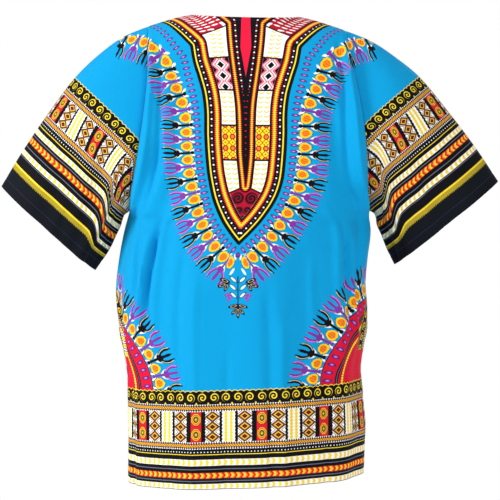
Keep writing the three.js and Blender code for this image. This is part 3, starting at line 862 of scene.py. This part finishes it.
class Art:
    """One print: a colour that is painted over, shape by shape, in a material's nodes."""

    def __init__(self, name, ground):
        self.material = bpy.data.materials.new(name)
        self.material.use_nodes = True
        self.tree = self.material.node_tree
        self.tree.nodes.clear()
        colour = self.tree.nodes.new("ShaderNodeRGB")
        colour.outputs[0].default_value = INK[ground]
        self.colour = colour.outputs[0]

    def place(self, layer):
        attribute = self.tree.nodes.new("ShaderNodeAttribute")
        attribute.attribute_name = layer
        parts = self.tree.nodes.new("ShaderNodeSeparateXYZ")
        self.tree.links.new(attribute.outputs["Vector"], parts.inputs[0])
        return [Field(self.tree, socket) for socket in parts.outputs]

    def paint(self, shape, colour, soft=0.5):
        """Paints a colour where the shape is below 0, with a soft edge in millimetres."""
        mask = calc("MULTIPLY_ADD", shape, -1 / soft, 0.5, clamp=True)
        self.blend(mask.socket, INK[colour])

    def blend(self, factor, colour, mode="MIX"):
        node = self.tree.nodes.new("ShaderNodeMix")
        node.data_type, node.blend_type = "RGBA", mode
        self.tree.links.new(self.colour, node.inputs["A"])
        for socket, value in ((node.inputs["Factor"], factor), (node.inputs["B"], colour)):
            if isinstance(value, bpy.types.NodeSocket):
                self.tree.links.new(value, socket)
            else:
                socket.default_value = value
        node.clamp_factor = True
        self.colour = node.outputs["Result"]


def rings(art, within, far, bands):
    """Nested shapes: each band is (limit, colour), from the widest to the narrowest."""
    for limit, colour in bands:
        art.paint(both(far - limit, within), colour)


def braid(art, within, across, along, scale=1):
    """Beads side by side, from a yellow middle to a dark edge."""
    far = (size(across) + fold(along, 3.3) * 1.1) / scale
    rings(art, within, far, ((5.4, "maroon"), (4.6, "red"), (3.5, "orange"), (2.3, "yellow")))


def flowers(art, within, along, out, pitch, first=None):
    """A row of buds and open tulips, growing outward from a line. No tulip stands before the first place."""
    bud = centred(along - pitch / 2, pitch)
    stem = size(centred(along, pitch))
    even = odd(along, pitch) - 0.5
    rise = (out - 29) / 9.8
    swell = reach(bud / (7.6 + rise * -1.6), rise) * 8 + calc("SINE", out * 1.1 + along * 0.9) * 0.35
    rings(art, within, swell, ((9.1, "teal"), (8, "bud"), (5.2, "orange")))
    art.paint(both(size(fold(bud + rise * 2, 3.4) - 0.2) - 0.35, swell - 4.6, within), "rust", 0.8)
    side = size(bud)
    leaf = reach((side - 7.3 + (out - 42) * 0.42) / 1.9, (out - 42 - (side - 7.3) * 0.4) / 6.6) * 2 - 2
    art.paint(both(leaf, within), "white")
    leaf = reach((side - 7.2 - (out - 19) * 0.45) / 1.7, (out - 19 + (side - 7.2) * 0.4) / 5) * 2 - 2
    art.paint(both(leaf, within), "white")
    climb = calc("SQRT", calc("MAXIMUM", (out - 41) / 10, 0))
    spread = calc("MINIMUM", climb, 1) * 6.9 + calc("SINE", (out - 52) * 0.22) * 1.1
    taper = calc("MAXIMUM", out - 63, 0) * 0.26
    fingers = both(either(size(stem - spread), stem + 0.5) + taper, span(out, 40, 70))
    stalk = both(stem + 0.5, span(out, 20, 46))
    knob = reach(stem, out - 20) * 0.75
    cup = reach(stem, (out - 45.5) * 1.1) * 0.4
    tulip = either(fingers, stalk, knob, cup)
    for parity, dark, pale in ((even, "black", "beige"), (even * -1, "purple", "lilac")):
        if first is not None:
            parity = both(parity, first - along)
        art.paint(both(tulip - 2.3, parity, within), dark)
        line = both(size(stem - spread - 0.9), span(out, 46, 67))
        art.paint(both(line - 0.5, parity, within), pale)


def ovals(art, within, along, off, pitch, long, wide=2.5):
    far = reach(centred(along, pitch) / wide, off / long) * wide
    rings(art, within, far, ((wide, "navy"), (wide * 0.76, "purple"), (wide * 0.36, "lilac")))


def tiles(art, within, along, up, high):
    """The tiles of the borders: stacked diamonds, two medallions, diamonds, and wavy stripes."""
    wave = calc("SINE", up * 1.15) * 0.5
    place = calc("WRAP", along, TILE_REPEAT, 0)
    art.paint(within, "black")
    for middle in (10.5, 62.5):
        tile = both(within, span(place + wave, middle - 10.8, middle + 10.8))
        art.paint(tile, "white")
        diamond = size(place - middle) / 10.2 + fold(up - high / 6, high / 3) / (high / 6)
        art.paint(both((size(diamond - 1.02) - 0.17) * 7, tile), "brown")
        art.paint(both((size(diamond - 1.45) - 0.08) * 7, tile), "brown")
        for limit, colour in ((0.88, "black"), (0.74, "ochre"), (0.46, "black"), (0.2, "brown")):
            art.paint(both((diamond - limit) * 7, tile), colour)
    tile = both(within, span(place, 29, 45))
    art.paint(tile, "red")
    x, y = size(place - 37), size(size(up - high / 2) - high / 4) * 0.8
    octagon = both(x, y, (x + y) * 0.72)
    rings(art, tile, octagon, ((7.6, "black"), (7, "gold"), (6.1, "red"), (4.9, "gold"), (4, "black"),
                               (2.9, "olive"), (1.2, "gold")))
    tile = both(within, span(place + wave, 77.5, 97.5))
    art.paint(tile, "white")
    stripe = size(size(place - 87.5) - 4.1) + calc("SINE", up * 1.25) * 0.55
    art.paint(both(stripe - 2.3, tile), "butter", 1.4)


def curls(art, within, along, up, low, high):
    """A black band of gold curls, with a scalloped gold edge above."""
    edge = size(calc("SINE", along * (2 * math.pi / CURL_PITCH))) * 2
    art.paint(both(up - edge - (high - 3), within), "gold")
    art.paint(both(up - edge - (high - 4.2), within), "black")
    mirror = odd(along, CURL_PITCH) * 2 - 1
    x, y = centred(along, CURL_PITCH) * mirror, up - (low + high - 2.5) / 2
    art.paint(both(curl(x, y, 4.7, 6.9, 1.9), within), "gold")
    tooth = fold(along - CURL_PITCH / 2, CURL_PITCH) + size(up - low - 1.2) * 0.8
    art.paint(both(tooth - 1.7, within), "gold")


def dotted_braid(art, within, along, up, low):
    """A twisted cord between two rows of white points."""
    middle = up - low - BRAID_WIDE / 2
    art.paint(both(size(middle) - 5.6, within), "plum")
    art.paint(both(fold(along, 3.9) + size(size(middle) - 5.2) * 0.55 - 1.25, within), "white")
    cord = both(size(middle) + fold(along, 3.9) * 0.5 - 3.3, within)
    art.paint(cord, "black")
    art.paint(both(cord + 0.6, size(middle) - 2.4), "ochre")
    art.paint(both(fold(along + middle * 1.1, 3.9) - 0.75, cord + 0.6), "brown")


def tile_band(art, along, up, low, high):
    """The tiles, between two dotted braids."""
    dotted_braid(art, span(up, low - BRAID_WIDE, low), along, up, low - BRAID_WIDE)
    tiles(art, span(up, low, high), along, up - low, high - low)
    dotted_braid(art, span(up, high, high + BRAID_WIDE), along, up, high)


def check(art, within, along, up, low, high):
    """A white band with soft yellow checks."""
    strip = both(within, span(up, low, high))
    art.paint(strip, "white")
    block = fold(along + size(up - (low + high) / 2) * 0.4, 9.4) - 2.4
    art.paint(both(block, strip + 0.5), "butter", 1.6)


def chain(art, within, along, up, low, high):
    """A red band with orange and yellow links."""
    strip = both(within, span(up, low, high))
    art.paint(strip, "red")
    link = calc("WRAP", along + size(up - (low + high) / 2) * 0.7, 9.4, 0)
    art.paint(both(link - 5.6, strip + 0.5), "orange", 2.4)
    art.paint(both(size(link - 2) - 1.5, strip + 1), "yellow", 1.6)


def lower_border(art, within, along, up, bands):
    """The narrow bands that both borders share, from the lowest up."""
    first, link, second, dots, line = bands
    check(art, within, along, up, *first)
    chain(art, within, along, up, *link)
    check(art, within, along, up, *second)
    for below, above in ((first[1], link[0]), (link[1], second[0])):
        art.paint(both(size(up - (below + above) / 2) - 0.6, within), "grey")
    art.paint(both(reach(fold(along, 5.2), up - dots) - 0.9, within), "white")
    art.paint(both(size(up - line) - 0.6, within), "gold")


def shield_print():
    """The yoke: its borders, two columns of panels between them, and the notch print in the middle."""
    art = Art("print_shield", "blue")
    along, inward, outward = art.place("shield")
    across, _, down = art.place("cloth")
    out = size(across)
    art.paint(inward * -1, "black")
    art.paint(span(inward, 5.2, 7.4), "yellow")
    for start, radius, colour in ((0, 1.35, "white"), (DOT_PITCH / 2, 0.9, "purple")):
        art.paint(reach(fold(along - start, DOT_PITCH), inward - 11.8) - radius, colour)
    panel = both(PANEL_IN - inward, PANEL_OUT - outward)
    aside = (inward - PANEL_IN - (outward - PANEL_OUT)) * 0.5
    slant = (out - 34) * 0.45 + 20
    joins = [down - slant, down - (out - 32) * 0.1 - PINK_TOP, down - 131, down - 188, down - 243,
             down - (out - 5) * 0.45 - 286]
    art.paint(panel, "crimson")
    stroke = reach(centred(along - inward * 0.5, 8.6) / 1.7, centred(inward - 34, 11.5) / 4.7) * 1.7 - 1.7
    art.paint(both(stroke, panel), "white")
    column = size(size(aside) - 5.3)
    chevron = fold(down + column * 0.62, 7.6) - 1.15

    def white_below(join):
        white = both(panel, join * -1)
        art.paint(white, "white")
        art.paint(both(chevron, column - 4.2, white), "butter")

    white_below(joins[0])
    pink = both(panel, joins[1] * -1)
    diamond = fold(down - PINK_TOP - 13, 18.5) * 0.72 + size(aside) * 0.8
    rings(art, pink, diamond, ((40, "pink"), (9.7, "white"), (8.3, "pink"), (6.3, "white"), (4.3, "black")))
    art.paint(both(fold(down - PINK_TOP - 3.7, 18.5) * 0.8 - (size(aside) - 7.6), pink), "black")
    white_below(joins[2])
    yellow = both(panel, joins[3] * -1)
    art.paint(yellow, "lemon")
    x, y = size(size(aside) - 5.6), fold(down - 197, 18.3)
    petals = either(reach(x - 2.5, y), reach(x, y - 2.5))
    rings(art, yellow, reach(x, y - 9), ((4.6, "crimson"), (2.5, "orange")))
    rings(art, yellow, petals, ((3.2, "crimson"), (2, "lemon")))
    art.paint(both(reach(x, y) - 1.3, yellow), "red")
    white_below(joins[4])
    foot = both(PANEL_IN - inward, joins[5] * -1)
    art.paint(foot, "crimson")
    for x, y, radius in ((out - 10.6, down - 303, 9.3), (out - 5.8, down - 322, 5.9)):
        art.paint(both(reach(x, y) - radius - 0.8, foot), "maroon")
        art.paint(both(curl(x, y, 5.2, radius, 2.5), foot), "black")
    art.paint(both(330 - down, foot), "black")
    for join in joins:
        art.paint(both(size(join) - 1.4, 27 - inward, 9 - outward), "black")
    braid(art, 15 - inward, inward - 20.5, along)
    art.paint(both(span(outward, -1, 9), 26 - inward), "black")
    braid(art, 27 - inward, outward - 3.5, down, 0.72)
    hollow = both(outward, 24 - inward)
    art.paint(hollow, "black")
    art.paint(both(reach(fold(down, 9.6), outward + 5.2) - 1.3, hollow, 5.5 - out), "white")
    art.paint(both(reach(fold(down - 4.8, 9.6), outward + 5.4) - 0.9, hollow), "red")
    wedge = calc("MINIMUM", down * 0.028 + 7, (109 - down) * 0.17)
    art.paint(both(out - wedge, hollow), "wedge")
    return art


def flower_border(art):
    """The buds and tulips round the shield, from the point below it to the shoulders and sleeves."""
    along, out, _ = art.place("flowers")
    flowers(art, both(span(out, 14, 78), 7 - along), along - 6, out, FLOWER_PITCH, first=11)


def flower_print():
    art = Art("print_flowers", "blue")
    flower_border(art)
    along, off, _ = art.place("ovals")
    ovals(art, size(off) - 9, along, off, 9.6, 6.4)
    across, _, down = art.place("cloth")
    out = size(across)
    for x, y, angle, long, wide, dark in TIP_LEAVES:
        leaf_x, leaf_y = out - x, down - y
        turn, lift = math.cos(math.radians(angle)), math.sin(math.radians(angle))
        leaf = reach((leaf_x * turn + leaf_y * lift) / long, (leaf_y * turn - leaf_x * lift) / wide) * wide
        art.paint(leaf - wide, dark)
        art.paint(leaf - wide * 0.6, {"black": "beige", "teal": "white", "purple": "lilac"}[dark])
        if dark != "teal":
            art.paint(leaf - wide * 0.45, dark)
    art.paint(both(out - 0.9, span(down, 424, 472)), "navy")
    return art


def side_print():
    """Plain cloth, with half a medallion to each side of the side seam."""
    art = Art("print_side", "blue")
    across, up, _ = art.place("cloth")
    seam = art.place("flowers")[2]
    x, y = seam / MEDALLION["out"], (up - MEDALLION["up"]) / MEDALLION["high"]
    off = (reach(x, y) - 1) * MEDALLION["size"]
    along = calc("ARCTAN2", x, y) * MEDALLION["size"]
    flowers(art, span(off, -20, 58), along, off + 15, MEDALLION["pitch"])
    bands = ((0, "medallion"), (-24, "black"), (-30, "medallion"), (-33, "black"), (-34, "medallion"))
    rings(art, off, off, bands)
    ovals(art, off, along, off + 12, 14.2, 7.2, 3.3)
    art.paint(size(off + 0.9) - 0.9, "navy")
    art.paint(size(off + 27) - 0.6, "grey")
    beads = reach(fold(along, 5.6), off + 38.5)
    rings(art, off, beads, ((3.4, "black"), (2.7, "yellow")))
    art.paint(size(off + 50) - 0.5, "crimson")
    slant = (POCKET_EDGING["top"] - up) * POCKET_EDGING["slope"]
    rise = calc("MINIMUM", slant, POCKET_EDGING["out"]) - seam
    edging = both(rise * -1, POCKET_EDGING["foot"] - up)
    art.paint(edging, "black")
    curls(art, edging, up, rise * -1 + 24, 0, 24)
    dotted_braid(art, both(edging, 22 - rise), up, rise, 22)
    stripes, wide = both(edging, 33.5 - rise), fold(up + seam * 0.3, 13)
    art.paint(stripes, "white")
    art.paint(both(stripes, wide - 3.2), "butter")
    art.paint(both(stripes, size(wide - 4.6) - 0.8), "black")
    curls(art, up - 153, across, up, 131, 154)
    return art


def border_print():
    art = Art("print_border", "black")
    across, up, _ = art.place("cloth")
    lower_border(art, up - 62, across, up, HEM_BANDS)
    tile_band(art, across, up, 73, 120)
    curls(art, 131 - up, across, up, 131, 154)
    return art


def sleeve_print():
    art = Art("print_sleeve", "blue")
    flower_border(art)
    across, up, _ = art.place("cloth")
    across *= 0.85
    art.paint(up - 194, "black")
    art.paint(up - 45, "cuff")
    ragged = calc("SINE", across * 1.9) * 1.6 + calc("SINE", across * 4.7 + 2) * 1.4
    feather = both(fold(across + up * 0.3, 1.5) - 0.34, span(up + ragged * 0.5, 36.5, 45))
    art.paint(feather, "gold", 1.2)
    art.paint(span(up, 43.5, 46.5), "gold")
    lower_border(art, span(up, 60, 129), across, up, CUFF_BANDS)
    art.paint(span(up, 61.4, 62.4), "grey")
    tile_band(art, across, up, 139.5, 183)
    curls(art, 194 - up, across, up, 194, 217)
    return art


def pocket_print():
    art = Art("print_pocket", "black")
    across, under, _ = art.place("cloth")
    rise = under * -1
    curls(art, span(rise, -22, 2), across, rise, -22, 1)
    tile_band(art, across, rise, -80, -33)
    lower_border(art, rise + 91, across, rise + 153, HEM_BANDS)
    return art


def noise(tree, scale, detail=2, on_shirt=True):
    """Soft noise with so many spots to a metre, in the shirt's own space."""
    node = tree.nodes.new("ShaderNodeTexNoise")
    node.inputs["Scale"].default_value = scale
    node.inputs["Detail"].default_value = detail
    if on_shirt:
        space = tree.nodes.new("ShaderNodeTexCoord")
        tree.links.new(space.outputs["Object"], node.inputs["Vector"])
    return Field(tree, node.outputs["Fac"])


def finish_cloth(art):
    """Turns a print into cotton: threads, uneven dye, a paler reverse, crumples, and a dull sheen."""
    tree = art.tree
    across, up, _ = art.place("cloth")
    uneven = (noise(tree, 9, 4) - 0.5) * 0.35
    art.blend(calc("MAXIMUM", uneven, 0).socket, (0.35, 0.45, 0.7, 1), "MULTIPLY")
    warp, weft = (calc("SINE", place * (2 * math.pi / WEAVE)) for place in (across, up))
    threads = warp * weft * 0.5 + noise(tree, 260)
    art.blend(calc("MAXIMUM", (threads - 0.4) * 0.22, 0).socket, (0.55, 0.55, 0.6, 1), "MULTIPLY")
    reverse = tree.nodes.new("ShaderNodeAttribute")
    reverse.attribute_name = "reverse"
    art.blend((Field(tree, reverse.outputs["Fac"]) * 0.38).socket, INK["reverse"])
    height = threads * THREAD_HEIGHT + noise(tree, 22, 3) * CRUMPLE_HEIGHT
    bump = tree.nodes.new("ShaderNodeBump")
    bump.inputs["Strength"].default_value = 0.6
    bump.inputs["Distance"].default_value = 1
    tree.links.new(height.socket, bump.inputs["Height"])
    shader = tree.nodes.new("ShaderNodeBsdfPrincipled")
    for name, value in COTTON.items():
        shader.inputs[name].default_value = value
    tree.links.new(art.colour, shader.inputs["Base Color"])
    tree.links.new(bump.outputs[0], shader.inputs["Normal"])
    output = tree.nodes.new("ShaderNodeOutputMaterial")
    tree.links.new(shader.outputs[0], output.inputs["Surface"])
    return art.material


def mottled(name, scale, dark, light, detail=2, **values):
    """A plain material that varies softly between two colours."""
    material = bpy.data.materials.new(name)
    material.use_nodes = True
    tree = material.node_tree
    ramp = tree.nodes.new("ShaderNodeValToRGB")
    ramp.color_ramp.elements[0].color, ramp.color_ramp.elements[1].color = dark, light
    tree.links.new(noise(tree, scale, detail, False).socket, ramp.inputs[0])
    shader = tree.nodes["Principled BSDF"]
    tree.links.new(ramp.outputs[0], shader.inputs["Base Color"])
    for key, value in values.items():
        shader.inputs[key.replace("_", " ")].default_value = value
    return material


# A stitch is a flat-bottomed bead: its corners along, across and up, and its faces.
STITCH = {"pitch": 3.2, "length": 2.4, "thick": 0.34, "sunk": -0.05}
STITCH_CORNERS = [(-0.5, 0, STITCH["sunk"]), (-0.25, 1, 0), (-0.25, -1, 0), (-0.2, 0, STITCH["thick"]),
                  (0.2, 0, STITCH["thick"]), (0.25, 1, 0), (0.25, -1, 0), (0.5, 0, STITCH["sunk"])]
STITCH_FACES = [(0, 1, 3), (0, 3, 2), (1, 5, 4, 3), (2, 3, 4, 6), (7, 4, 5), (7, 6, 4)]


def stitches(name, runs, material):
    """Lockstitches along lines on the cloth. A run is (points, normals)."""
    corners, faces = [], []
    for points, normals in runs:
        lengths = lengths_along(points)

        def at(place, line):
            return np.array([np.interp(place, lengths, line[:, axis]) for axis in range(3)])

        for place in np.arange(STITCH["pitch"], lengths[-1] - STITCH["pitch"], STITCH["pitch"]):
            middle, up = at(place, points), at(place, normals)
            ahead = at(place + 1, points) - middle
            ahead /= max(np.linalg.norm(ahead), 1e-6)
            side = np.cross(up, ahead) * STITCH["thick"]
            first = len(corners)
            for along, wide, high in STITCH_CORNERS:
                corner = middle + ahead * along * STITCH["length"] + side * wide + up * high
                corners.append(tuple(corner * MM))
            faces += [[first + corner for corner in face] for face in STITCH_FACES]
    mesh = mesh_from(name, corners, faces, [material])
    mesh.shade_smooth()
    return add_object(name, mesh)


def line_at_height(surface, height, step=2):
    """The line across a surface at one height above its hem or cuff."""
    points, normals = [], []
    columns = list(range(0, surface["points"].shape[1], step))
    if surface["closed"]:
        columns.append(0)
    for column in columns:
        order = np.argsort(surface["up"][:, column])
        ups = surface["up"][order, column]
        for layer, line in (("points", points), ("normals", normals)):
            line.append([np.interp(height, ups, surface[layer][order, column, axis]) for axis in range(3)])
    return np.array(points), np.array(normals)


def neck_line(surface, inset):
    """The line just under the neck opening."""
    chosen = np.abs(surface["share"][0]) < NECK_SHARE
    points, into = surface["points"][0, chosen], surface["points"][3, chosen] - surface["points"][0, chosen]
    into /= np.linalg.norm(into, axis=1, keepdims=True)
    return points + into * inset, surface["normals"][1, chosen]


# Pieces of cloth

prints = {"side": side_print, "shield": shield_print, "flowers": flower_print, "border": border_print}
printed_body = [finish_cloth(prints[name]()) for name in BODY_PRINTS]
printed_sleeve = finish_cloth(sleeve_print())
printed_pocket = finish_cloth(pocket_print())
thread_dark = (*[part * 0.55 for part in INK["navy"][:3]], 1)
thread = mottled("thread_dark", 900, thread_dark, INK["navy"], Roughness=0.6, Sheen_Weight=0.1)

back = print_places(panel_surface("back"))
front = print_places(panel_surface("front"))


def add_piece(name, surface, materials, extra, sewn, runs):
    """A piece of cloth in place of its solid, and the stitches along its runs."""
    cloth = shell(f"cloth_{name}", surface, extra, materials)
    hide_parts(name)
    sewing = stitches(f"stitches_{sewn}", runs, thread)
    for piece in (cloth, sewing):
        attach(piece, "root")


def hem_extra(surface):
    return HEM_EXTRA * smooth((HEM_FOLD - surface["up"]) / 1.5)


for name, surface in (("back", back), ("front", front)):
    neck = smooth((NECK_HEM - surface["length"]) / 1.5) * (np.abs(surface["share"]) < NECK_SHARE)
    extra = np.maximum(hem_extra(surface), HEM_EXTRA * neck)
    runs = [line_at_height(surface, HEM_STITCH), neck_line(surface, NECK_STITCH)]
    add_piece(name, surface, printed_body, extra, f"{name}_hem", runs)
for name, side in SIDES.items():
    sleeve = sleeve_places(sleeve_surface(name), side, back, front)
    runs = [line_at_height(sleeve, HEM_STITCH, 1)]
    add_piece(f"sleeve_{name}", sleeve, [printed_sleeve], hem_extra(sleeve),
              f"cuff_{name}", runs)
for name, side in SIDES.items():
    pocket = pocket_surface(front, side)
    points, normals = pocket["points"], pocket["normals"]
    runs = [(points[2:, 1], normals[2:, 1]), (points[2:, -2], normals[2:, -2]), (points[-2], normals[-2])]
    add_piece(f"pocket_{name}", pocket, [printed_pocket], 0, f"pocket_{name}", runs)

# The flat cuts: width, length and area of each piece of cloth, in metres.

CUTS = {
    "back": (0.56, 0.81, 0.36),
    "front": (0.56, 0.81, 0.357),
    "sleeve_left": (0.6, 0.27, 0.14),
    "sleeve_right": (0.6, 0.27, 0.13),
    "pocket_left": (0.14, 0.22, 0.023),
    "pocket_right": (0.14, 0.22, 0.022),
}
for name, (width, length, area) in CUTS.items():
    rests = ["front"] if "pocket" in name else []

# Camera, light and floor, in metres


def look_at(thing, target):
    offset = np.array(target) - np.array(thing.location)
    flat = math.hypot(offset[0], offset[1])
    thing.rotation_euler = (math.pi / 2 + math.atan2(offset[2], flat), 0, math.atan2(-offset[0], offset[1]))


MIDDLE_X, EYE_HEIGHT = 0.0066, -0.386
scene = bpy.context.scene
camera = add_object("camera", bpy.data.cameras.new("camera"))
camera.data.lens = 96.5
camera.data.sensor_width = 36
camera.location = (MIDDLE_X, -2.2, EYE_HEIGHT)
look_at(camera, (MIDDLE_X, 0, EYE_HEIGHT))
scene.camera = camera

for name, place, width, power in (
    ("key", (-2.6, -1.3, 0.5), 0.9, 84),
    ("fill", (1.5, -2.3, 0.1), 1.8, 36),
    ("back", (0.8, 2.6, 0.3), 2, 60),
    ("top", (0.1, -0.3, 1.7), 1.4, 14),
):
    lamp = bpy.data.lights.new(name, "AREA")
    lamp.size, lamp.energy = width, power
    light = add_object(name, lamp)
    light.location = place
    look_at(light, (0, 0, -0.38))

# A white studio that lights the shirt softly: what the camera sees of it is brighter than what it gives.
world = bpy.data.worlds.new("studio")
world.use_nodes = True
world_nodes, world_links = world.node_tree.nodes, world.node_tree.links
seen = world_nodes.new("ShaderNodeLightPath")
strength = world_nodes.new("ShaderNodeMapRange")
strength.inputs["To Min"].default_value = 0.26
strength.inputs["To Max"].default_value = 1
world_links.new(seen.outputs["Is Camera Ray"], strength.inputs["Value"])
world_nodes["Background"].inputs["Color"].default_value = (1, 1, 1, 1)
world_links.new(strength.outputs["Result"], world_nodes["Background"].inputs["Strength"])
scene.world = world
scene.view_settings.view_transform = "Standard"

FLOOR_HALF, FLOOR_Z = 2.3, -1.25
corners = [(x * FLOOR_HALF, y * FLOOR_HALF, FLOOR_Z) for x, y in ((-1, -1), (1, -1), (1, 1), (-1, 1))]
pale = mottled("floor", 3, (0.9, 0.9, 0.9, 1), (0.94, 0.94, 0.94, 1), Roughness=0.9)
add_object("floor", mesh_from("floor", corners, [(0, 1, 2, 3)], [pale]))
